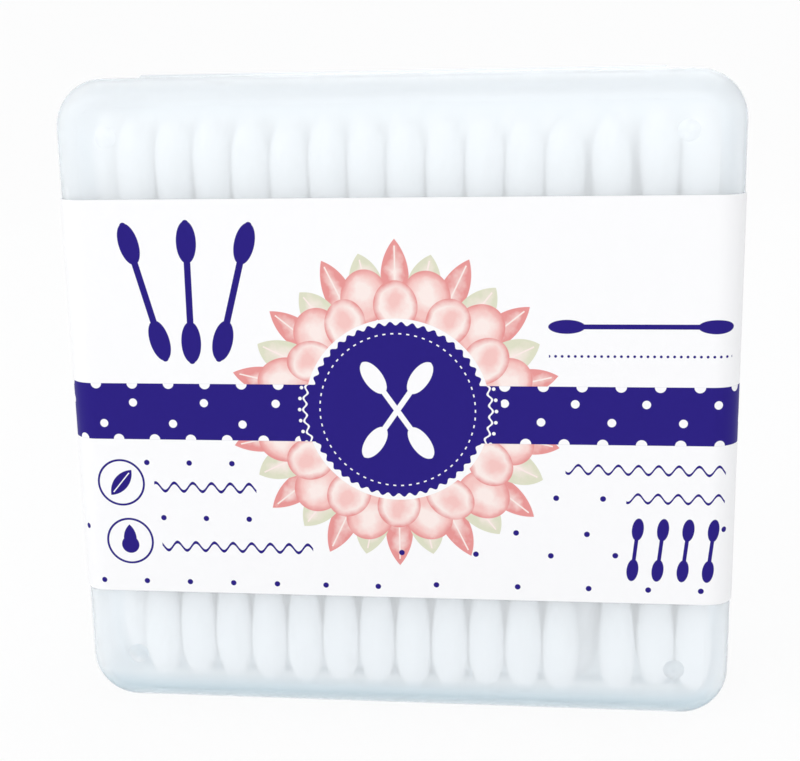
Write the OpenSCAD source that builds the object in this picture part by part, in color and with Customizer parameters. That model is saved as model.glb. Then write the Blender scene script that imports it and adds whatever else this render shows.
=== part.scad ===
/* [Case] */
// Width of the closed case, side to side
case_w = 83; // [60:0.5:120]
// Height left inside over a swab that stands on the bottom wall
headroom = 5.3; // [4.5:0.1:12]
// Depth of the lid, from its face to the parting line
lid_depth = 10; // [8.5:0.5:14]
// Thickness of the moulded walls
wall = 0.9; // [0.6:0.1:1.1]
// Radius of the four corners seen from the front
corner_r = 6.0; // [5:0.1:8]
// Radius of the rounded edge round the face and round the back
edge_r = 3.4; // [2.5:0.1:4.5]
// Gap between the two rims when the case is closed
seam_gap = 0.1; // [0.05:0.05:0.3]

/* [Closure] */
// How far the lip of the base reaches into the lid
lip_h = 1.6; // [1:0.1:3]
// Thickness of the lip
lip_t = 0.6; // [0.4:0.1:0.8]
// Clearance between the lip and the lid's wall
lip_gap = 0.15; // [0.1:0.05:0.3]
// How far the lip is carried back along the base's wall
lip_root = 1.6; // [1:0.1:3]
// Chamfer that leads the lip into the lid
lip_lead = 0.3; // [0.1:0.05:0.35]
// Distance from each end of the moulded hinge to the side of the case
hinge_inset = 9; // [8:0.5:20]
// How far the hinge bead stands above the top wall
hinge_rise = 0.3; // [0.2:0.1:1]
// Width of each hinge leaf, measured from the parting line
hinge_leaf = 1.5; // [1:0.1:3]
// Flat top of each hinge leaf beside the fold
hinge_flat = 0.5; // [0.2:0.1:0.9]
// Width of the fingernail recess in the base, under the lid's free edge
nail_w = 16; // [8:1:30]
// How far the recess runs back from the parting line
nail_run = 2.2; // [1:0.1:4]
// Depth of the recess in the bottom wall
nail_bite = 0.5; // [0.2:0.1:0.5]

/* [Stacking pips] */
// Diameter of each pip on the lid's face
pip_d = 2.6; // [1:0.1:4]
// Height of each pip above the face
pip_rise = 0.4; // [0.2:0.1:0.8]
// Distance of each pip from the two nearest sides of the case
pip_inset = 7.0; // [5:0.1:12]

/* [Printed sleeve] */
// Height of the sleeve band
sleeve_h = 50.4; // [20:0.1:60]
// How far the middle of the band sits above the middle of the case
sleeve_up = 0.7; // [-3:0.1:3]
// Thickness of the sleeve
sleeve_t = 0.12; // [0.08:0.02:0.3]
// Thickness of the film of glue under the sleeve
glue_t = 0.05; // [0.02:0.01:0.1]
// Distance from the parting line to the sleeve's torn edge
sleeve_edge = 0.4; // [0.2:0.1:2]

/* [Swabs] */
// Length of a swab over both cotton heads
swab_len = 73.5; // [60:0.5:90]
// Largest diameter of a cotton head
head_d = 4.6; // [4:0.1:6]
// Length of a cotton head
head_len = 13.5; // [10:0.5:18]
// Distance from the tip to the fullest section of the head
head_peak = 5; // [3.5:0.1:7]
// Radius of the round tip of the head
tip_r = 1.6; // [1:0.1:1.7]
// Thickness of the cotton where it thins out on the stick
head_neck = 0.3; // [0.2:0.05:0.6]
// Thickness of the cotton over the end of the stick
head_cover = 2.2; // [1:0.1:4]
// Diameter of the paper stick
stick_d = 2.2; // [1.8:0.1:2.6]
// Clearance of the stick in the cotton
stick_gap = 0.03; // [0.01:0.01:0.05]

/* [Packing] */
// Gap between neighbouring swabs, head to head
swab_gap = 0.03; // [0.02:0.01:0.2]
// Gap between the front row and the lid's face
front_play = 2; // [0.2:0.1:4]
// Gap between the last row and the back
back_play = 0.6; // [0.2:0.1:2]
// Gap under a swab that stands on a wall
rest_gap = 0.1; // [0.05:0.01:0.1]
// How much the swabs differ in how high they stand
ragged = 0.45; // [0:0.05:0.5]
// Spare height for the outermost swab between two corners
corner_play = 0.2; // [0.2:0.1:2]

/* [Front row] */
// Gap between neighbouring swabs of the looser front row
front_gap = 0.2; // [0.02:0.01:0.5]
// Gap between the front row's last swab and the right wall
right_play = 0.9; // [0.5:0.1:2]
// How far each swab that stands apart at the right leans left at its upper head, from the right
apart_lean = [1, 0.9, 1.7]; // [0:0.1:2]
// Width of the gap between them and the rest of the row
apart_gap = 2.6; // [0:0.1:4]
// The swab that stands high, counted from the right
high_swab = 1; // [0:1:10]
// How much higher it stands
high_by = 1.1; // [0:0.1:2]
// How much higher the row stands at its left end
left_rise = 1.1; // [0:0.1:1.5]

/* [Hidden] */
$fn = 48;
rows = 6;
head_r = head_d / 2;
stick_r = stick_d / 2;
stick_start = head_cover + stick_gap;
head_drop = head_r - stick_r - head_neck;
head_fall = head_len - head_peak;
belly_r = (head_fall * head_fall + head_drop * head_drop) / (2 * head_drop);
nose_r =
    (pow(head_r, 2) + pow(head_peak - tip_r, 2) - pow(tip_r, 2)) / (2 * (head_r - tip_r));
tip_end = head_peak - nose_r * (head_peak - tip_r) / (nose_r - tip_r);

pitch = head_d + swab_gap;
front_pitch = head_d + front_gap;
case_h = swab_len + headroom + 2 * wall;
case_d = 2 * wall + front_play + head_d + (rows - 1) * pitch + back_play;
hinge_len = case_w - 2 * hinge_inset;
base_depth = case_d - lid_depth;
parting_y = lid_depth - case_d / 2;

// The lip's section, as distances out from a corner's axis and back from the parting line
step_in = lip_gap + lip_t;
lip_out = corner_r - wall - lip_gap;
lip_in = lip_out - lip_t;
lip_foot = corner_r - wall / 2;
lip_section = [
    [lip_foot, 0],
    [lip_out, 0],
    [lip_out, lip_lead - lip_h],
    [lip_out - lip_lead, -lip_h],
    [lip_in, -lip_h],
    [lip_in, lip_root],
    [lip_foot, lip_root + lip_foot - lip_in]
];
nail_r = (nail_w * nail_w / 4 + nail_run * nail_run) / (2 * nail_run);

// A full row is as wide as a swab still stands between a lower and an upper corner
corner_room = corner_r - wall - step_in - head_r - rest_gap;
corner_need = max(0, swab_len - head_d + 2 * corner_r - case_h + ragged + corner_play);
widest_x = case_w / 2 - corner_r + sqrt(pow(corner_room, 2) - pow(corner_need / 2, 2));
half_row = floor(widest_x / pitch);
front_last_x = case_w / 2 - wall - right_play - head_r;
front_count = floor((2 * front_last_x - apart_gap) / front_pitch);
apart = len(apart_lean);
lean_height = swab_len - 2 * head_peak;

// Row 1 stands behind the lid's face, its places count from the right. Other rows count from the middle
function places(row) = row == 1 ? [0:front_count - 1] : [-half_row:half_row];
function row_y(row) = wall + front_play + head_r + (row - 1) * pitch - case_d / 2;
function foot_x(row, place) =
    row == 1 ? front_last_x - place * front_pitch - (place < apart ? 0 : apart_gap) : place * pitch;
function lean(row, place) =
    row == 1 && place < apart ? -atan(apart_lean[place] / lean_height) : 0;

// Rows over the lip stand on it, and a row in the lid stands clear of the rim as it swings
function near_lip(row) =
    row_y(row) + head_r > parting_y - lip_h
    && row_y(row) - head_r < parting_y + lip_root + step_in + wall;
function swing_lift(row) =
    row_y(row) < parting_y ? pow(parting_y - row_y(row) + head_r / 2, 2) / (2 * case_h) : 0;
function past_edge(row) = abs(row_y(row)) - case_d / 2 + edge_r;
function room(row) =
    past_edge(row) > 0
    ? corner_r - edge_r + sqrt(pow(edge_r - wall - head_r - rest_gap, 2) - pow(past_edge(row), 2))
    : corner_r - wall - head_r - rest_gap - (near_lip(row) ? step_in : 0);
function past_corner(row, place) = max(0, abs(foot_x(row, place)) - case_w / 2 + corner_r);
function uneven(row, place) =
    ragged * (0.5 - 0.5 * sin(97 * place + 151 * row))
    + (row == 1 ? left_rise * pow(min(0, foot_x(row, place)) / front_last_x, 2) : 0)
    + (row == 1 && place == high_swab ? high_by : 0);
function foot_z(row, place) =
    corner_r - head_r - sqrt(pow(room(row), 2) - pow(past_corner(row, place), 2))
    + swing_lift(row) + uneven(row, place);

module quarter_disc(r) {
    intersection() {
        circle(r);
        square(r);
    }
}

// Half section of a block whose far edge is rounded: x out from the corner axis, y up to the face
module edge_section(r, edge, depth) {
    square([r - edge, depth]);
    translate([r - edge, 0]) square([edge, depth - edge]);
    translate([r - edge, depth - edge]) quarter_disc(edge);
}

// Block with rounded corners in plan and a rounded far edge, its open side at z = 0
module rounded_block(w, h, r, edge, depth) {
    translate([r - w / 2, r - h / 2, 0]) cube([w - 2 * r, h - 2 * r, depth]);
    for (side = [0:3]) {
        across = side % 2 == 0 ? w : h;
        along = side % 2 == 0 ? h : w;
        rotate([0, 0, 90 * side]) translate([across / 2 - r, along / 2 - r, 0]) {
            rotate([90, 0, 0]) linear_extrude(along - 2 * r) edge_section(r, edge, depth);
            rotate_extrude(angle = 90) edge_section(r, edge, depth);
        }
    }
}

module tray(depth) {
    difference() {
        rounded_block(case_w, case_h, corner_r, edge_r, depth);
        translate([0, 0, -1])
            rounded_block(
                case_w - 2 * wall, case_h - 2 * wall, corner_r - wall, edge_r - wall, depth - wall + 1
            );
    }
}

// Lip round both sides, the bottom and the two lower corners, none on the hinge side
module lip() {
    for (side = [0, 2, 3]) {
        across = side == 3 ? case_h : case_w;
        along = side == 3 ? case_w : case_h;
        rotate([0, 0, 90 * side]) translate([across / 2 - corner_r, along / 2 - corner_r, 0]) {
            rotate([90, 0, 0]) linear_extrude(along - 2 * corner_r) polygon(lip_section);
            if (side != 0) rotate_extrude(angle = 90) polygon(lip_section);
        }
    }
}

// Both trays are drawn lying open side down, then stood up with that side at the parting line
module stand_lid() {
    translate([0, parting_y - seam_gap / 2, case_h / 2]) rotate([90, 0, 0]) children();
}

module stand_base() {
    translate([0, parting_y + seam_gap / 2, case_h / 2]) mirror([0, 1, 0]) rotate([90, 0, 0]) children();
}

// One leaf of the moulded hinge, reaching from the fold at y = 0 along +Y
module hinge_leaf() {
    rotate([90, 0, 90])
        linear_extrude(hinge_len, center = true)
            polygon([
                [0, -wall / 2],
                [hinge_leaf, -wall / 2],
                [hinge_leaf, 0],
                [hinge_flat, hinge_rise],
                [0, hinge_rise]
            ]);
}

module pip() {
    cap_r = (pip_d * pip_d / 4 + pip_rise * pip_rise) / (2 * pip_rise);
    intersection() {
        translate([0, 0, pip_rise - cap_r]) sphere(cap_r);
        translate([0, 0, -wall / 2]) cylinder(h = wall / 2 + pip_rise + 1, r = pip_d);
    }
}

module base() {
    color([0.80, 0.90, 0.96, 0.55])
        difference() {
            union() {
                stand_base() {
                    tray(base_depth - seam_gap / 2);
                    lip();
                }
                translate([0, parting_y, case_h]) hinge_leaf();
            }
            translate([0, parting_y + nail_run - nail_r, -1])
                cylinder(h = 1 + nail_bite, r = nail_r, $fn = 96);
        }
}

module lid() {
    color([0.84, 0.93, 0.98, 0.5]) {
        stand_lid() {
            tray(lid_depth - seam_gap / 2);
            for (x = [-1, 1], y = [-1, 1])
                translate([
                    x * (case_w / 2 - pip_inset), y * (case_h / 2 - pip_inset), lid_depth - seam_gap / 2
                ])
                    pip();
        }
        translate([0, parting_y, case_h]) mirror([0, 1, 0]) hinge_leaf();
    }
}

// Plan outline of the case between its corners, grown by a margin
module plan_outline(margin) {
    across = case_w / 2 - edge_r;
    back = case_d / 2 - edge_r;
    reach = edge_r + margin;
    square([2 * across, 2 * (back + reach)], center = true);
    for (side = [0, 180])
        rotate(side) {
            translate([across, -back]) square([reach, 2 * back]);
            translate([across, back]) quarter_disc(reach);
            translate([across, -back]) rotate(-90) quarter_disc(reach);
        }
}

module sleeve_band() {
    difference() {
        plan_outline(glue_t + sleeve_t);
        plan_outline(glue_t);
    }
}

module raise_sleeve() {
    translate([0, 0, (case_h - sleeve_h) / 2 + sleeve_up]) linear_extrude(sleeve_h) children();
}

module sleeve_front() {
    color([0.97, 0.97, 0.98])
        raise_sleeve()
            intersection() {
                sleeve_band();
                translate([-case_w, parting_y - sleeve_edge - case_d]) square([2 * case_w, case_d]);
            }
}

module sleeve_back() {
    color([0.97, 0.97, 0.98])
        raise_sleeve()
            intersection() {
                sleeve_band();
                translate([-case_w, parting_y + sleeve_edge]) square([2 * case_w, case_d]);
            }
}

// Slice of a head's half section between two heights, bounded outside by a circle
module head_slice(r, centre, from, to) {
    intersection() {
        translate(centre) circle(r, $fn = 180);
        translate([0, from]) square([head_d, to - from]);
    }
}

// Half section of a cotton head, tip at the origin, with the socket that holds the stick:
// a round tip, a long nose out to the fullest section, and a slow fall to the neck
module head_section() {
    difference() {
        union() {
            head_slice(tip_r, [0, tip_r], 0, 2 * tip_r);
            head_slice(nose_r, [head_r - nose_r, head_peak], tip_end, head_len);
            head_slice(belly_r, [head_r - belly_r, head_peak], head_peak, head_len);
        }
        translate([-1, head_cover]) square([1 + stick_r + stick_gap, head_len]);
    }
}

module head() {
    rotate_extrude() head_section();
}

module each_swab(row) {
    for (place = places(row))
        translate([foot_x(row, place), row_y(row), foot_z(row, place)])
            rotate([0, lean(row, place), 0])
                children();
}

module sticks(row) {
    color([0.95, 0.96, 0.98])
        each_swab(row)
            translate([0, 0, stick_start]) cylinder(h = swab_len - 2 * stick_start, r = stick_r);
}

module tips(row) {
    color([0.99, 0.99, 1])
        each_swab(row) {
            head();
            translate([0, 0, swab_len]) mirror([0, 0, 1]) head();
        }
}

base();
lid();
sleeve_front();
sleeve_back();
sticks(1);  // sticks_row_1
sticks(2);  // sticks_row_2
sticks(3);  // sticks_row_3
sticks(4);  // sticks_row_4
sticks(5);  // sticks_row_5
sticks(6);  // sticks_row_6
tips(1);  // tips_row_1
tips(2);  // tips_row_2
tips(3);  // tips_row_3
tips(4);  // tips_row_4
tips(5);  // tips_row_5
tips(6);  // tips_row_6
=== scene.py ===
import math
import random

import bpy
import numpy as np
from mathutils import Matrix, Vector

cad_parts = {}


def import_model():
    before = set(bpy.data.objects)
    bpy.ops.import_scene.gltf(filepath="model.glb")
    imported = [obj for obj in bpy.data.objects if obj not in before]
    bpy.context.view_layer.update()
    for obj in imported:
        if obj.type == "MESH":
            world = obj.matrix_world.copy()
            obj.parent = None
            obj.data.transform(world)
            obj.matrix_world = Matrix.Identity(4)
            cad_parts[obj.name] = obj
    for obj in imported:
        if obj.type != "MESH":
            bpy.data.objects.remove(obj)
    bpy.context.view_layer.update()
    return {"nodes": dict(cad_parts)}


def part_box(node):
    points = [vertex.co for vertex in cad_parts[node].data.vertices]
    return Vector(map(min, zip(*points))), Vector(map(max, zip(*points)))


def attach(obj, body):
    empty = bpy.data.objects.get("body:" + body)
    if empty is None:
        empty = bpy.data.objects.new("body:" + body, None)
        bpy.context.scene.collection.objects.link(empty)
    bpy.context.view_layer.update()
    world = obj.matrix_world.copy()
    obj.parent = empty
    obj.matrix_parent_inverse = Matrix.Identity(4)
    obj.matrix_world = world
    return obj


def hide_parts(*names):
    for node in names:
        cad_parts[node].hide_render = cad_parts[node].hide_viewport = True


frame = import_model()

MM = 0.001
NODES = frame["nodes"]

# The sleeve's place and size in millimetres, from the frame, and small sizes that the solids also have
sleeve_low, sleeve_high = (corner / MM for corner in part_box("sleeve_front"))
back_low, back_high = (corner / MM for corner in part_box("sleeve_back"))
SLEEVE_HALF = sleeve_high.x
SLEEVE_FACE = sleeve_low.y
SLEEVE_REAR = back_high.y
SLEEVE_BOTTOM = sleeve_low.z
SLEEVE_TOP = sleeve_high.z
FRONT_EDGE = sleeve_high.y
REAR_EDGE = back_low.y
SLEEVE_THICK = 0.12
GLUE_THICK = 0.05
CASE_EDGE_R = 3.4
CORNER = CASE_EDGE_R + GLUE_THICK + SLEEVE_THICK

# The camera that took the photograph: its place in millimetres and its turn in degrees
PHOTO_W = 800
FOCAL_PX = 1348.5
SENSOR_MM = 36.0
CAMERA_AT = (19.40, -175.57, 80.60)
CAMERA_TURN = (77.141, 1.045, 6.470)

# Colours, as linear values
WHITE = (0.93, 0.925, 0.93)
NAVY = (0.020, 0.010, 0.205)
ROSE = (0.77, 0.30, 0.29)
BLUSH = (0.88, 0.55, 0.52)
CREAM = (0.93, 0.80, 0.76)
SAGE = (0.70, 0.70, 0.54)

# Painted shade on the plastic by height in millimetres: a painted shade on the bottom, paler at its rim, and
# a painted shade line under the top
BOTTOM_PAINTED_SHADE, BOTTOM_HIGH, BOTTOM_EDGE = (0.69, 0.80, 0.85), 3.1, 2.8
RIM_PAINTED_SHADE, RIM_HIGH, RIM_EDGE = (0.90, 0.94, 0.96), 1.1, 1.8
TOP_PAINTED_SHADE, TOP_HEIGHT, TOP_HALF, TOP_EDGE = (0.92, 0.94, 0.955), 78.2, 1.0, 1.6

# Its roughness: at the bottom, how much it gains per millimetre of height, and how far it clouds
ROUGH_LOW, ROUGH_RISE, ROUGH_CLOUD = 0.09, 0.0012, 0.08


# Node helpers

# The Mix node's colour sockets by number, because its other sockets have the same names
MIX_UNDER, MIX_OVER, MIX_RESULT = 6, 7, 2


class Field:
    """A number that varies over a surface, built up from Math nodes."""

    def __init__(self, tree, socket):
        self.tree = tree
        self.socket = socket

    def math(self, operation, *others, clamp=False):
        node = self.tree.nodes.new("ShaderNodeMath")
        node.operation = operation
        node.use_clamp = clamp
        for slot, value in zip(node.inputs, (self, *others)):
            if isinstance(value, Field):
                self.tree.links.new(value.socket, slot)
            else:
                slot.default_value = value
        return Field(self.tree, node.outputs[0])

    def __add__(self, other):
        return self.math("ADD", other)

    def __sub__(self, other):
        return self.math("SUBTRACT", other)

    def __mul__(self, other):
        return self.math("MULTIPLY", other)

    def __neg__(self):
        return self.math("MULTIPLY", -1.0)

    def size(self):
        return self.math("ABSOLUTE")

    def least(self, other):
        return self.math("MINIMUM", other)

    def most(self, other):
        return self.math("MAXIMUM", other)

    def root(self):
        return self.math("SQRT")

    def sine(self):
        return self.math("SINE")

    def cosine(self):
        return self.math("COSINE")

    def repeat(self, step):
        """Distance from the nearest of the places that lie a step apart, one of them at zero."""
        return self.math("PINGPONG", step / 2)

    def wrap(self, step):
        """The value folded into the range from minus half a step to half a step."""
        return self.math("WRAP", step / 2, -step / 2)


def hypot(x, y):
    return (x * x + y * y).root()


# Shapes, as fields that are below zero inside and grow in millimetres outwards

def disc(x, y, radius):
    return hypot(x, y) - radius


def oval(x, y, half_x, half_y):
    return (hypot(x * (1 / half_x), y * (1 / half_y)) - 1.0) * min(half_x, half_y)


def stroke(x, y, start, end, radius):
    """A straight stroke with round ends."""
    ax, ay = start
    dx, dy = end[0] - ax, end[1] - ay
    length2 = dx * dx + dy * dy
    along = ((x - ax) * (dx / length2) + (y - ay) * (dy / length2)).math("ADD", 0.0, clamp=True)
    return hypot(x - ax - along * dx, y - ay - along * dy) - radius


def leaf(x, y, half_length, half_width):
    """A pointed leaf along X: what two equal circles share."""
    radius = (half_length ** 2 + half_width ** 2) / (2 * half_width)
    return hypot(x, y.size() + (radius - half_width)) - radius


def turned(x, y, degrees):
    """The place as it is seen along axes turned anticlockwise."""
    c, s = math.cos(math.radians(degrees)), math.sin(math.radians(degrees))
    return x * c + y * s, y * c - x * s


def paint(under, colour, shape, edge=0.05):
    """The colour laid over what is under it, inside the shape, with a soft edge."""
    tree = shape.tree
    mix = tree.nodes.new("ShaderNodeMix")
    mix.data_type = "RGBA"
    cover = (shape * (-1 / edge)).math("ADD", 0.5, clamp=True)
    tree.links.new(cover.socket, mix.inputs["Factor"])
    for slot, value in ((mix.inputs[MIX_UNDER], under), (mix.inputs[MIX_OVER], colour)):
        if isinstance(value, bpy.types.NodeSocket):
            tree.links.new(value, slot)
        else:
            slot.default_value = (*value, 1.0)
    return mix.outputs[MIX_RESULT]


def new_material(name):
    """A material with its node tree, its Principled shader and its output."""
    material = bpy.data.materials.new(name)
    material.use_nodes = True
    tree = material.node_tree
    tree.nodes.clear()
    out = tree.nodes.new("ShaderNodeOutputMaterial")
    shader = tree.nodes.new("ShaderNodeBsdfPrincipled")
    tree.links.new(shader.outputs[0], out.inputs["Surface"])
    return material, tree, shader, out


def place_in_mm(tree):
    """The point on the object, in millimetres."""
    place = tree.nodes.new("ShaderNodeTexCoord")
    scaled = tree.nodes.new("ShaderNodeVectorMath")
    scaled.operation = "SCALE"
    scaled.inputs["Scale"].default_value = 1 / MM
    tree.links.new(place.outputs["Object"], scaled.inputs[0])
    return scaled.outputs[0]


def noise(tree, where, scale, detail, stretch=(1, 1, 1)):
    """A cloudy field. A larger scale, or a larger stretch along an axis, makes it finer."""
    mapping = tree.nodes.new("ShaderNodeMapping")
    mapping.inputs["Scale"].default_value = stretch
    tree.links.new(where, mapping.inputs["Vector"])
    node = tree.nodes.new("ShaderNodeTexNoise")
    node.inputs["Scale"].default_value = scale
    node.inputs["Detail"].default_value = detail
    tree.links.new(mapping.outputs[0], node.inputs["Vector"])
    return Field(tree, node.outputs[0])


def spread(value):
    """A noise value, which runs from about 0.3 to 0.7, spread over 0 to 1."""
    node = value.tree.nodes.new("ShaderNodeMapRange")
    value.tree.links.new(value.socket, node.inputs["Value"])
    for slot, number in zip(list(node.inputs)[1:5], (0.3, 0.7, 0.0, 1.0)):
        slot.default_value = number
    return node.outputs[0]


def add_bump(tree, shader, height, distance):
    bump = tree.nodes.new("ShaderNodeBump")
    bump.inputs["Strength"].default_value = 1.0
    bump.inputs["Distance"].default_value = distance
    tree.links.new(height.socket, bump.inputs["Height"])
    tree.links.new(bump.outputs[0], shader.inputs["Normal"])


# Materials

def case_plastic(name, tint):
    """Frosted polypropylene: milky and faintly blue where it is thick, with painted blue-grey shade on its
    bottom and in a line under its top.
    """
    material, tree, shader, out = new_material(name)
    where = place_in_mm(tree)
    parts = tree.nodes.new("ShaderNodeSeparateXYZ")
    tree.links.new(where, parts.inputs[0])
    height = Field(tree, parts.outputs[2])
    # Painted shade: the bottom darker and bluer, paler again at the very rim, and a darker line under the
    # top wall
    shaded = paint(tint, BOTTOM_PAINTED_SHADE, height - BOTTOM_HIGH, BOTTOM_EDGE)
    shaded = paint(shaded, RIM_PAINTED_SHADE, height - RIM_HIGH, RIM_EDGE)
    shaded = paint(shaded, TOP_PAINTED_SHADE, (height - TOP_HEIGHT).size() - TOP_HALF, TOP_EDGE)
    tree.links.new(shaded, shader.inputs["Base Color"])
    shader.inputs["IOR"].default_value = 1.35
    shader.inputs["Transmission Weight"].default_value = 0.62
    shader.inputs["Specular IOR Level"].default_value = 0.5
    cloud = noise(tree, where, 0.12, 3.0, (1, 1, 0.4)) * ROUGH_CLOUD
    tree.links.new((cloud + height * ROUGH_RISE + ROUGH_LOW).socket, shader.inputs["Roughness"])
    ripple = noise(tree, where, 0.5, 1.0, (1, 1, 0.15))
    add_bump(tree, shader, ripple, 0.00005)

    # Light on its way to the swabs passes straight through, with the plastic's tint
    clear = tree.nodes.new("ShaderNodeBsdfTransparent")
    clear.inputs["Color"].default_value = (0.985, 0.99, 0.995, 1.0)
    path = tree.nodes.new("ShaderNodeLightPath")
    passing = Field(tree, path.outputs["Is Shadow Ray"]).most(Field(tree, path.outputs["Is Diffuse Ray"]))
    mix = tree.nodes.new("ShaderNodeMixShader")
    tree.links.new(passing.socket, mix.inputs["Fac"])
    tree.links.new(shader.outputs[0], mix.inputs[1])
    tree.links.new(clear.outputs[0], mix.inputs[2])
    tree.links.new(mix.outputs[0], out.inputs["Surface"])

    # The thickness of the plastic gives the blue-grey of walls seen edge on
    depth = tree.nodes.new("ShaderNodeVolumeAbsorption")
    depth.inputs["Color"].default_value = (0.66, 0.82, 0.91, 1.0)
    depth.inputs["Density"].default_value = 58.0
    tree.links.new(depth.outputs[0], out.inputs["Volume"])
    return material


def cotton_material():
    """Bleached cotton wound round the stick: soft, with fine fibres that run round the head."""
    material, tree, shader, _ = new_material("cotton_wool")
    where = place_in_mm(tree)
    patch = noise(tree, where, 0.5, 3.0)
    shade = tree.nodes.new("ShaderNodeMix")
    shade.data_type = "RGBA"
    shade.inputs[MIX_UNDER].default_value = (0.94, 0.96, 0.98, 1.0)
    shade.inputs[MIX_OVER].default_value = (0.975, 0.984, 0.99, 1.0)
    tree.links.new(spread(patch), shade.inputs["Factor"])
    tree.links.new(shade.outputs[MIX_RESULT], shader.inputs["Base Color"])
    shader.inputs["Roughness"].default_value = 0.95
    shader.inputs["Specular IOR Level"].default_value = 0.15
    shader.inputs["Sheen Weight"].default_value = 0.35
    shader.inputs["Sheen Roughness"].default_value = 0.6
    shader.inputs["Subsurface Weight"].default_value = 0.8
    shader.inputs["Subsurface Radius"].default_value = (1.0, 1.0, 1.0)
    shader.inputs["Subsurface Scale"].default_value = 0.003
    fibres = noise(tree, where, 3.2, 6.0, (1, 1, 2.6))
    lumps = noise(tree, where, 1.1, 2.0)
    add_bump(tree, shader, fibres * 0.7 + lumps * 0.6, 0.00012)
    return material


# The seam's half width is a share of the way round the stick
SEAM_PITCH = 9.0
SEAM_HALF = 0.012


def stick_material():
    """Rolled white paper, with a seam that winds once round the stick in SEAM_PITCH millimetres."""
    material, tree, shader, _ = new_material("rolled_paper")
    uv = tree.nodes.new("ShaderNodeUVMap")
    uv.uv_map = "UVMap"
    parts = tree.nodes.new("ShaderNodeSeparateXYZ")
    tree.links.new(uv.outputs[0], parts.inputs[0])
    around = Field(tree, parts.outputs[0])
    along = Field(tree, parts.outputs[1])
    seam = (along * (1 / SEAM_PITCH) + around).repeat(1.0)
    colour = paint((0.90, 0.91, 0.93), (0.66, 0.69, 0.75), seam - SEAM_HALF, 0.01)
    tree.links.new(colour, shader.inputs["Base Color"])
    shader.inputs["Roughness"].default_value = 0.72
    fibre = noise(tree, place_in_mm(tree), 2.2, 4.0, (1, 1, 0.3))
    add_bump(tree, shader, seam.least(0.03) * 14.0 + fibre * 0.5, 0.00005)
    return material


def swab_icon(under, colour, x, y, length, stick, bud, bud_length):
    """A plain swab seen from the side, lying along X and centred. stick and bud are its half widths."""
    half = length / 2
    outline = stroke(x, y, (-half, 0), (half, 0), stick)
    for side in (-1, 1):
        head = oval(x - side * (half - bud_length / 2), y, bud_length / 2 + BUD_OVER, bud)
        outline = outline.least(head)
    return paint(under, colour, outline)


# The print, in millimetres along the sleeve from its middle and up from the floor: the band, the badge
# with its teeth and its rings, and the dots. BUD_OVER is how far a printed bud reaches past its stick.
BAND_Z, BAND_HALF = 39.75, 3.62
BADGE_X, BADGE_Z, BADGE_R = 0.25, 40.2, 10.85
TEETH, TOOTH_HALF = 50, 0.22
DASHES, DASH_R = 62, 9.6
BEADS, BEAD_R = 54, 12.15
MARGIN_R, WAVE_R, COLLAR_R = 11.45, 11.5, 12.75
SCATTERED_R, BAND_DOT_R, EDGE_DOT_R = 0.36, 0.52, 0.68
EDGE_DOT_STEP = 4.65
BUD_OVER = 0.3


def petal_place(reach, angle, count, turn):
    """A place in a ring of petals: how far out it is, and how far across from the nearest petal's middle."""
    sector = 2 * math.pi / count
    place = (angle - turn * sector).wrap(sector)
    return reach * place.cosine(), reach * place.sine()


def wreath(colour, reach, angle, wash):
    """Two rings of leaves behind two rings of petals, all slightly uneven. Each ring's entry is its count,
    its turn in parts of a petal, its middle, half length and half width, and its colours."""
    sway = (angle * 3.0 + 0.7).sine() * 0.5 + (angle * 5.0 + 2.0).sine() * 0.35
    for count, turn, middle, half_length, half_width, tone in (
        (14, 0.5, 16.0, 4.6, 1.7, ROSE),
        (14, 0.0, 15.2, 4.2, 2.1, SAGE),
    ):
        out, across = petal_place(reach, angle, count, turn)
        along = out - middle + sway
        blade = leaf(along, across, half_length, half_width)
        colour = paint(colour, tone, blade)
        colour = paint(colour, CREAM, blade + 1.25 + wash * 3.0, 1.6)
        colour = paint(colour, CREAM, across.size().most(along.size() - half_length * 0.8) - 0.09)
    for count, turn, middle, half_length, half_width, tone, heart in (
        (12, 0.5, 14.2, 3.3, 3.0, BLUSH, CREAM),
        (12, 0.0, 12.6, 3.0, 2.7, CREAM, BLUSH),
    ):
        out, across = petal_place(reach, angle, count, turn)
        along = out - middle + sway
        petal = oval(along, across, half_length, half_width)
        inside = oval(along - 0.5, across, half_length * 0.5, half_width * 0.45)
        colour = paint(colour, ROSE, petal)
        colour = paint(colour, tone, petal + 0.38 + wash * 0.9, 0.7)
        colour = paint(colour, heart, inside + wash * 2.0, 1.1)
    return colour


def scattered_dots(colour, x, z):
    """Small dots over the lower half, row by row: step, first, last and height."""
    for step, first, last, height in (
        (5.5, -31.8, -20.8, 33.1),
        (5.7, 19.7, 25.4, 29.3),
        (5.55, -30.0, -18.9, 25.8),
        (2.0, -40.4, -40.4, 24.3),
        (2.0, 40.2, 40.2, 25.5),
        (8.7, 14.8, 23.5, 24.7),
        (9.3, 0.5, 19.1, 21.8),
        (2.0, 27.0, 27.0, 22.0),
        (5.7, -38.4, -15.6, 17.2),
        (6.7, -9.3, -2.6, 17.2),
        (2.0, 4.8, 4.8, 17.6),
        (8.8, 15.0, 23.8, 17.6),
        (6.4, 31.1, 37.5, 17.6),
    ):
        middle, half = (first + last) / 2, (last - first + step) / 2
        row = hypot((x - first).repeat(step), z - height) - SCATTERED_R
        colour = paint(colour, NAVY, row.most((x - middle).size() - half))
    return colour


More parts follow.
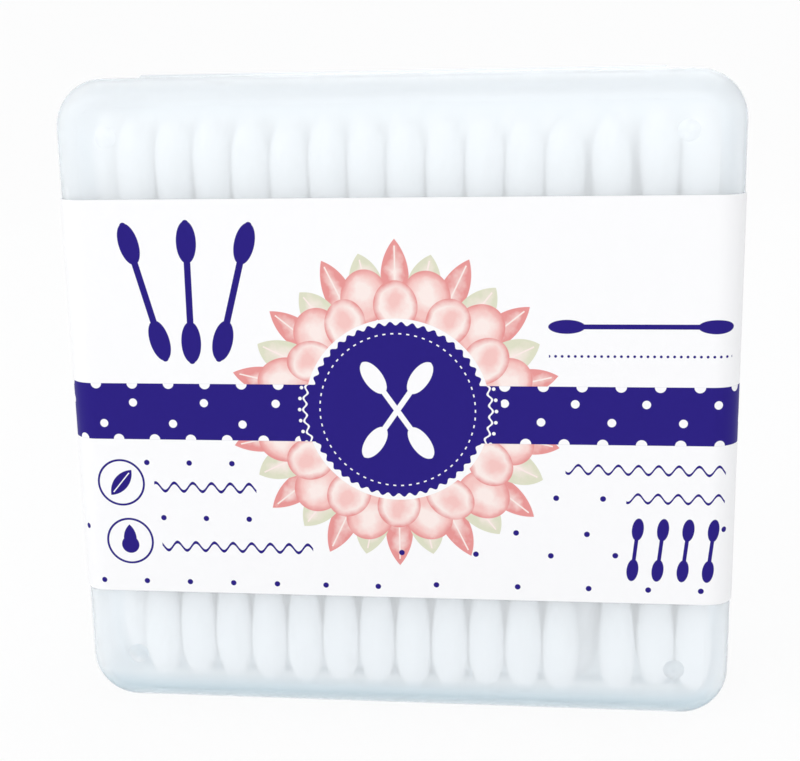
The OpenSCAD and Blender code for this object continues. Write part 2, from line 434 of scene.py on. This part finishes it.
def dotted_band(colour, x, z, band):
    """The band, with two staggered rows of whole dots each side of the badge and half dots on both edges.
    Each row's entry is its step, its first dot, its height and its side."""
    colour = paint(colour, NAVY, band)
    for step, first, height, side in (
        (9.1, -33.1, 40.9, -1), (8.9, -37.0, 38.2, -1), (8.5, 13.4, 41.2, 1), (8.5, 17.8, 38.9, 1),
    ):
        dots = hypot((x - first).repeat(step), z - height) - BAND_DOT_R
        colour = paint(colour, WHITE, dots.most(x * -side))
    for first, height in ((-33.1, BAND_Z + BAND_HALF), (-35.2, BAND_Z - BAND_HALF)):
        bites = hypot((x - first).repeat(EDGE_DOT_STEP), z - height) - EDGE_DOT_R
        colour = paint(colour, WHITE, bites.most(band))
    return colour


def badge(colour, dx, dz, reach, angle, band):
    """A toothed disc in a white margin, with beads and a wavy line where it crosses the band, a ring of
    dashes and two crossed swabs."""
    wave = (angle * float(TEETH)).cosine() * TOOTH_HALF
    colour = paint(colour, WHITE, (reach - MARGIN_R).most(-band))
    colour = paint(colour, NAVY, (reach - COLLAR_R).most(band))
    beads = hypot(angle.repeat(2 * math.pi / BEADS) * BEAD_R, reach - BEAD_R) - 0.22
    colour = paint(colour, WHITE, beads.most(band))
    colour = paint(colour, WHITE, ((reach - WAVE_R - wave).size() - 0.13).most(band))
    colour = paint(colour, NAVY, reach - BADGE_R - wave)
    dash_x = angle.repeat(2 * math.pi / DASHES) * DASH_R
    colour = paint(colour, WHITE, (reach - DASH_R).size().most(dash_x - 0.1) - 0.08)
    for turn in (55, 125):
        colour = swab_icon(colour, WHITE, *turned(dx, dz, turn), 14.0, 0.34, 1.15, 4.0)
    return colour


def ornaments(colour, x, z):
    """Plain swabs, rings and lines where other packs carry words."""
    for lean, sideways in ((-15, -5.6), (0, 0.0), (15, 5.6)):
        icon_x, icon_y = turned(x + 25.2 - sideways, z - 54.8, 90 - lean)
        colour = swab_icon(colour, NAVY, icon_x, icon_y, 17.0, 0.42, 1.25, 4.6)
    colour = swab_icon(colour, NAVY, x - 29.6, z - 50.7, 21.4, 0.3, 0.85, 3.8)
    underline = hypot(x.repeat(0.78), z - 47.1) - 0.17
    colour = paint(colour, NAVY, underline.most((x - 29.6).size() - 10.9))
    for ring_x, ring_z in ((-35.3, 30.4), (-34.6, 22.6)):
        ring = (hypot(x - ring_x, z - ring_z) - 2.95).size() - 0.14
        colour = paint(colour, NAVY, ring)
    leaf_x, leaf_z = turned(x + 35.3, z - 30.4, 50)
    colour = paint(colour, NAVY, leaf(leaf_x, leaf_z, 2.2, 0.95))
    colour = paint(colour, WHITE, leaf_z.size().most(leaf_x.size() - 1.6) - 0.07)
    drop = disc(x + 34.6, z - 22.1, 1.15).least(leaf(z - 22.9, x + 34.6, 1.9, 0.85))
    colour = paint(colour, NAVY, drop)
    for start, end, height, half_thick in (
        (-31.0, -17.8, 29.9, 0.2),
        (-30.4, -10.8, 22.0, 0.2),
        (20.8, 40.2, 33.0, 0.17),
        (28.2, 40.2, 29.4, 0.17),
    ):
        middle, half = (start + end) / 2, (end - start) / 2
        curve = (z - height - (x * 2.6).sine() * 0.55).size() - half_thick
        colour = paint(colour, NAVY, curve.most((x - middle).size() - half))
    for icon in range(4):
        icon_x, icon_y = turned(x - 29.4 - icon * 3.05, z - 22.8, 84)
        colour = swab_icon(colour, NAVY, icon_x, icon_y, 7.6, 0.24, 0.72, 2.3)
    return colour


def print_colour(tree, x, z, face):
    """The sleeve's print, in millimetres along and up the sleeve. Behind, only the band goes on round."""
    band = (z - BAND_Z).size() - BAND_HALF
    if not face:
        return dotted_band(WHITE, x, z, band)
    dx, dz = x - BADGE_X, z - BADGE_Z
    reach = hypot(dx, dz)
    angle = dz.math("ARCTAN2", dx)
    wash = noise(tree, place_in_mm(tree), 0.55, 3.0) - 0.5
    colour = wreath(WHITE, reach, angle, wash)
    colour = scattered_dots(colour, x, z)
    colour = dotted_band(colour, x, z, band)
    colour = badge(colour, dx, dz, reach, angle, band)
    return ornaments(colour, x, z)


def sleeve_material(name, printed, face=False):
    """White film with a light gloss, printed or plain. The face carries more print than the back."""
    material, tree, shader, _ = new_material(name)
    shader.inputs["Roughness"].default_value = 0.45
    shader.inputs["Specular IOR Level"].default_value = 0.10
    fibre = noise(tree, place_in_mm(tree), 0.9, 3.0)
    add_bump(tree, shader, fibre, 0.00002)
    if printed:
        uv = tree.nodes.new("ShaderNodeUVMap")
        uv.uv_map = "UVMap"
        parts = tree.nodes.new("ShaderNodeSeparateXYZ")
        tree.links.new(uv.outputs[0], parts.inputs[0])
        x = Field(tree, parts.outputs[0])
        z = Field(tree, parts.outputs[1])
        tree.links.new(print_colour(tree, x, z, face), shader.inputs["Base Color"])
    else:
        grain = noise(tree, place_in_mm(tree), 1.4, 2.0)
        colour = paint(WHITE, (0.88, 0.88, 0.885), grain - 0.5, 0.2)
        tree.links.new(colour, shader.inputs["Base Color"])
    return material


# Meshes

def mesh_object(name, points, faces, uvs=None):
    """A smooth mesh from points in millimetres. uvs holds a pair of numbers for each corner of each face."""
    mesh = bpy.data.meshes.new(name)
    mesh.from_pydata([tuple(c * MM for c in p) for p in points], [], faces)
    if uvs is not None:
        layer = mesh.uv_layers.new(name="UVMap")
        layer.data.foreach_set("uv", np.array(uvs, np.float32).ravel())
    mesh.polygons.foreach_set("use_smooth", [True] * len(mesh.polygons))
    mesh.update()
    made = bpy.data.objects.new(name, mesh)
    bpy.context.scene.collection.objects.link(made)
    return made


# The sleeve's mesh: its steps along half the face, a corner and a side, and its rows from bottom to top
FACE_STEPS, CORNER_STEPS, SIDE_STEPS, SLEEVE_ROWS = 24, 12, 6, 20

# Edges that turn more than this stay sharp
SHARP_ANGLE = math.radians(40)


def sleeve_outline(face_y, edge_y):
    """Half of the sleeve's outer outline in plan, from the middle of its face to its open edge.
    Each entry is a point, its outward direction and its distance along the sleeve."""
    toward = math.copysign(1, face_y)
    straight = SLEEVE_HALF - CORNER
    side = abs(edge_y - face_y) - CORNER
    line = []
    for i in range(FACE_STEPS + 1):
        x = straight * i / FACE_STEPS
        line.append(((x, face_y), (0, toward), x))
    for i in range(1, CORNER_STEPS + 1):
        a = math.radians(90 * i / CORNER_STEPS)
        point = (straight + CORNER * math.sin(a), face_y - toward * CORNER * (1 - math.cos(a)))
        line.append((point, (math.sin(a), toward * math.cos(a)), straight + CORNER * a))
    for i in range(1, SIDE_STEPS + 1):
        back = side * i / SIDE_STEPS
        point = (SLEEVE_HALF, face_y - toward * (CORNER + back))
        line.append((point, (1, 0), straight + CORNER * math.pi / 2 + back))
    return line


def sleeve_piece(name, face_y, edge_y, body, node, printed):
    """One part of the sleeve: an outer printed skin, an inner plain skin and the cut edges between them."""
    half = sleeve_outline(face_y, edge_y)
    left = [((-x, y), (-nx, ny), -s) for (x, y), (nx, ny), s in half[:0:-1]]
    line = left + half
    rows = SLEEVE_ROWS
    points, faces, uvs, inner = [], [], [], []
    for depth in (0.0, SLEEVE_THICK):
        for (x, y), (nx, ny), _ in line:
            for k in range(rows + 1):
                z = SLEEVE_BOTTOM + (SLEEVE_TOP - SLEEVE_BOTTOM) * k / rows
                points.append((x - nx * depth, y - ny * depth, z))
    columns = len(line)
    skin = columns * (rows + 1)
    forward = face_y < 0

    def add(corners, plain):
        """One face, given as on the front part. The back part faces the other way."""
        if not forward:
            corners = corners[::-1]
        faces.append(corners)
        inner.append(plain)
        for corner in corners:
            column, row = divmod(corner % skin, rows + 1)
            uvs.append((line[column][2], points[corner][2]))

    for c in range(columns - 1):
        for k in range(rows):
            a, b = c * (rows + 1) + k, (c + 1) * (rows + 1) + k
            add([a, b, b + 1, a + 1], False)
            add([skin + a, skin + a + 1, skin + b + 1, skin + b], True)
    for c in range(columns - 1):
        a, b = c * (rows + 1), (c + 1) * (rows + 1)
        add([skin + a, skin + b, b, a], True)
        add([a + rows, b + rows, skin + b + rows, skin + a + rows], True)
    for c in (0, columns - 1):
        for k in range(rows):
            a = c * (rows + 1) + k
            cut = [skin + a, a, a + 1, skin + a + 1]
            add(cut if c == 0 else cut[::-1], True)
    piece = mesh_object(name, points, faces, uvs)
    piece.data.materials.append(printed)
    piece.data.materials.append(UNPRINTED)
    piece.data.polygons.foreach_set("material_index", [int(plain) for plain in inner])
    piece.data.set_sharp_from_angle(angle=SHARP_ANGLE)
    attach(piece, body)
    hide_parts(node)


# The swabs, in the same sizes as the solids that they stand for, in millimetres
HEAD_R = 2.3
TIP_R = 1.6
HEAD_LEN = 13.5
HEAD_PEAK = 5.0
NECK_R = 1.4
STICK_R = 1.1
BELLY_DROP = HEAD_R - NECK_R
BELLY_R = ((HEAD_LEN - HEAD_PEAK) ** 2 + BELLY_DROP ** 2) / (2 * BELLY_DROP)
NOSE_R = (HEAD_R ** 2 + (HEAD_PEAK - TIP_R) ** 2 - TIP_R ** 2) / (2 * (HEAD_R - TIP_R))
TIP_END = HEAD_PEAK - NOSE_R * (HEAD_PEAK - TIP_R) / (NOSE_R - TIP_R)
STICK_GAP = 0.03
HEAD_COVER = 2.2 + STICK_GAP

# The rings of a head's mesh by their distance from its tip, the points round each, and a stick's sides
RINGS = (
    0.03, 0.12, 0.27, 0.5, 0.97, 1.6, 2.4, 3.4, 4.6,
    5.8, 7.0, 8.2, 9.4, 10.6, 11.7, 12.6, 13.3, 13.5,
)
AROUND = 28
STICK_SIDES = 16

# The cotton's unevenness: the tip is drawn in by TIP_INSET, the rest by up to SLACK and by the waves of
# head_shell, which grow to their full depth over the first UNEVEN_FROM. WAVE_PEAK is the sum of the waves.
TIP_INSET = 0.02
UNEVEN_FROM = 1.2
SLACK = 0.03
WAVE = 0.015
WAVE_PEAK = 1 + 0.7 + 0.6 + 0.5

# How much wider the heads are along the row: those in front touch, as the cotton does in the photograph
FRONT_SPREAD = 0.085
SPREAD = 0.02


def head_radius(s):
    """Radius of a cotton head at a distance from its tip: round tip, long nose, slow fall to the neck."""
    if s < TIP_END:
        return math.sqrt(TIP_R ** 2 - (TIP_R - s) ** 2)
    bow = NOSE_R if s < HEAD_PEAK else BELLY_R
    return HEAD_R - bow + math.sqrt(bow ** 2 - (s - HEAD_PEAK) ** 2)


def swab_axes(row):
    """The row's place along Y, and the foot and the top of each stick's axis, from the row's sticks."""
    sticks = np.array([v.co for v in NODES[f"sticks_row_{row}"].data.vertices]) / MM
    low, high = sticks[:, 2].min(), sticks[:, 2].max()
    y = (sticks[:, 1].min() + sticks[:, 1].max()) / 2
    cut = (low + high) / 2
    axes = []
    for part in (sticks[sticks[:, 2] < cut], sticks[sticks[:, 2] >= cut]):
        part = part[np.argsort(part[:, 0])]
        breaks = np.where(np.diff(part[:, 0]) > STICK_R)[0] + 1
        groups = np.split(part, breaks)
        axes.append([((g[:, 0].min() + g[:, 0].max()) / 2, float(np.median(g[:, 2]))) for g in groups])
    return y, axes[0], axes[1]


def head_shell(tip, up, rng, spread_x):
    """Points and faces of one cotton head, uneven as wound cotton is. spread_x widens it along the row."""
    up = up.normalized()
    side = up.orthogonal().normalized()
    other = up.cross(side)
    phase = [rng.uniform(0, 2 * math.pi) for _ in range(4)]
    slack = rng.uniform(0.0, SLACK)
    points, faces = [tip + up * TIP_INSET], []
    for s in RINGS:
        fade = min(1.0, s / UNEVEN_FROM)
        radius = head_radius(s)
        for k in range(AROUND):
            a = 2 * math.pi * k / AROUND
            wave = (
                math.sin(2 * a + phase[0] + 0.25 * s)
                + 0.7 * math.sin(3 * a + phase[1] - 0.5 * s)
                + 0.6 * math.sin(1.3 * s + phase[2])
                + 0.5 * math.sin(5 * a + phase[3] + 0.9 * s)
            )
            r = radius - fade * (slack + WAVE * (WAVE_PEAK + wave))
            point = tip + up * (s + TIP_INSET) + side * (r * math.cos(a)) + other * (r * math.sin(a))
            point.x += (point.x - tip.x - up.x * s) * spread_x
            points.append(point)
    for k in range(AROUND):
        faces.append((0, 1 + (k + 1) % AROUND, 1 + k))
    for i in range(len(RINGS) - 1):
        low, high = 1 + i * AROUND, 1 + (i + 1) * AROUND
        for k in range(AROUND):
            n = (k + 1) % AROUND
            faces.append((low + k, low + n, high + n, high + k))
    last = 1 + (len(RINGS) - 1) * AROUND
    faces.append(tuple(last + k for k in range(AROUND)))
    return points, faces


def stick_shell(foot, top):
    """Points, faces and UVs of one paper stick."""
    up = (top - foot).normalized()
    side = up.orthogonal().normalized()
    other = up.cross(side)
    length = (top - foot).length
    count = STICK_SIDES
    points, faces, uvs = [], [], []
    for s in (0.0, length):
        for k in range(count):
            a = 2 * math.pi * k / count
            points.append(foot + up * s + side * (STICK_R * math.cos(a)) + other * (STICK_R * math.sin(a)))
    for k in range(count):
        n = (k + 1) % count
        faces.append((k, n, count + n, count + k))
        uvs += [(k / count, 0), ((k + 1) / count, 0), ((k + 1) / count, length), (k / count, length)]
    faces.append(tuple(range(count))[::-1])
    faces.append(tuple(count + k for k in range(count)))
    uvs += [(0, 0)] * (2 * count)
    return points, faces, uvs


def joined(shells):
    """The points and faces of several shells, as one mesh has them."""
    points, faces = [], []
    for more_points, more_faces in shells:
        start = len(points)
        points += more_points
        faces += [tuple(start + i for i in face) for face in more_faces]
    return points, faces


def swab_row(row):
    """The cotton heads and the paper sticks of one row, as two pieces."""
    rng = random.Random(100 + row)
    spread_x = FRONT_SPREAD if row == 1 else SPREAD
    y, low_axis, high_axis = swab_axes(row)
    heads, sticks, uvs = [], [], []
    for (low_x, low_z), (high_x, high_z) in zip(low_axis, high_axis):
        foot = Vector((low_x, y, low_z))
        top = Vector((high_x, y, high_z))
        up = (top - foot).normalized()
        heads.append(head_shell(foot - up * HEAD_COVER, up, rng, spread_x))
        heads.append(head_shell(top + up * HEAD_COVER, -up, rng, spread_x))
        points, faces, stick_uvs = stick_shell(foot, top)
        sticks.append((points, faces))
        uvs += stick_uvs
    cotton = mesh_object(f"cotton_heads_{row}", *joined(heads))
    cotton.data.materials.append(COTTON)
    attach(cotton, "tray")
    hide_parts(f"tips_row_{row}")
    paper = mesh_object(f"paper_sticks_{row}", *joined(sticks), uvs)
    paper.data.materials.append(STICK)
    paper.data.set_sharp_from_angle(angle=SHARP_ANGLE)
    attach(paper, "tray")
    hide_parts(f"sticks_row_{row}")


# The stage

def camera():
    """The photograph's camera."""
    data = bpy.data.cameras.new("camera")
    data.sensor_width = SENSOR_MM
    data.lens = FOCAL_PX * SENSOR_MM / PHOTO_W
    data.clip_start = 0.01
    made = bpy.data.objects.new("camera", data)
    bpy.context.scene.collection.objects.link(made)
    made.location = tuple(c * MM for c in CAMERA_AT)
    made.rotation_euler = tuple(math.radians(a) for a in CAMERA_TURN)
    bpy.context.scene.camera = made


def aimed_light(name, place, target, size, power, colour=(1, 1, 1)):
    """A soft rectangular lamp. Its place, its target and its size are in metres."""
    data = bpy.data.lights.new(name, "AREA")
    data.shape = "RECTANGLE"
    data.size, data.size_y = size
    data.energy = power
    data.color = colour
    made = bpy.data.objects.new(name, data)
    bpy.context.scene.collection.objects.link(made)
    made.location = place
    made.rotation_euler = (Vector(target) - Vector(place)).to_track_quat("-Z", "Y").to_euler()


def white_where_seen(tree, seen, reflected, through):
    """How much of a backdrop's look is plain white: to the camera, in reflections and through plastic."""
    path = tree.nodes.new("ShaderNodeLightPath")
    white = Field(tree, path.outputs["Is Camera Ray"]) * seen
    white = white.most(Field(tree, path.outputs["Is Glossy Ray"]) * reflected)
    white = white.most(Field(tree, path.outputs["Is Transmission Ray"]) * through)
    return white.socket


def floor():
    """A pale floor that rises behind into a backdrop in one smooth curve."""
    half_width, front, bend, back, height = 3000, -1500, 700, 1100, 1800
    steps = 16
    radius = back - bend
    profile = [(front, 0), (-200, 0), (300, 0), (bend, 0)]
    for i in range(1, steps + 1):
        a = math.radians(90 * i / steps)
        profile.append((bend + radius * math.sin(a), radius * (1 - math.cos(a))))
    profile.append((back, height))
    points, faces = [], []
    for y, z in profile:
        points += [(-half_width, y, z), (half_width, y, z)]
    for i in range(len(profile) - 1):
        faces.append((2 * i, 2 * i + 1, 2 * i + 3, 2 * i + 2))
    made = mesh_object("floor", points, faces)
    material, tree, shader, out = new_material("floor_white")
    grain = noise(tree, place_in_mm(tree), 0.02, 2.0)
    colour = paint((0.93, 0.94, 0.95), (0.92, 0.93, 0.94), grain - 0.5, 0.3)
    tree.links.new(colour, shader.inputs["Base Color"])
    shader.inputs["Roughness"].default_value = 0.9
    glow = tree.nodes.new("ShaderNodeEmission")
    glow.inputs["Strength"].default_value = 1.0
    mix = tree.nodes.new("ShaderNodeMixShader")
    tree.links.new(white_where_seen(tree, 0.9, 0.9, 0.25), mix.inputs["Fac"])
    tree.links.new(shader.outputs[0], mix.inputs[1])
    tree.links.new(glow.outputs[0], mix.inputs[2])
    tree.links.new(mix.outputs[0], out.inputs["Surface"])
    made.data.materials.append(material)


def world():
    """Soft light from all round, which looks plain white where it is seen."""
    made = bpy.data.worlds.new("studio")
    made.use_nodes = True
    tree = made.node_tree
    tree.nodes.clear()
    out = tree.nodes.new("ShaderNodeOutputWorld")
    soft = tree.nodes.new("ShaderNodeBackground")
    soft.inputs["Color"].default_value = (0.99, 0.995, 1.0, 1.0)
    soft.inputs["Strength"].default_value = 0.78
    white = tree.nodes.new("ShaderNodeBackground")
    white.inputs["Color"].default_value = (0.96, 0.96, 0.96, 1.0)
    white.inputs["Strength"].default_value = 1.0
    mix = tree.nodes.new("ShaderNodeMixShader")
    tree.links.new(white_where_seen(tree, 1.0, 1.0, 1.0), mix.inputs["Fac"])
    tree.links.new(soft.outputs[0], mix.inputs[1])
    tree.links.new(white.outputs[0], mix.inputs[2])
    tree.links.new(mix.outputs[0], out.inputs["Surface"])
    bpy.context.scene.world = made


camera()
floor()
world()
aimed_light("key", (-0.6, -0.5, 0.55), (0, 0, 0.04), (0.8, 0.6), 2.15, (1.0, 0.99, 0.98))
aimed_light("fill", (0.2, -0.85, 0.3), (0, 0, 0.04), (0.7, 0.5), 1.03, (0.98, 0.985, 1.0))
aimed_light("rim", (0.1, 0.6, 0.5), (0, 0, 0.05), (0.6, 0.3), 0.5)

PRINTED_FACE = sleeve_material("sleeve_printed_face", True, face=True)
PRINTED_BACK = sleeve_material("sleeve_printed_back", True)
UNPRINTED = sleeve_material("sleeve_plain", False)
COTTON = cotton_material()
STICK = stick_material()

for node, tint in (("base", (0.94, 0.965, 0.98)), ("lid", (0.95, 0.97, 0.985))):
    NODES[node].data.materials.clear()
    NODES[node].data.materials.append(case_plastic(f"{node}_plastic", tint))
sleeve_piece("printed_sleeve_front", SLEEVE_FACE, FRONT_EDGE, "cover", "sleeve_front", PRINTED_FACE)
sleeve_piece("printed_sleeve_back", SLEEVE_REAR, REAR_EDGE, "tray", "sleeve_back", PRINTED_BACK)
for row_number in range(1, 7):
    swab_row(row_number)

bpy.context.scene.view_settings.view_transform = "Standard"
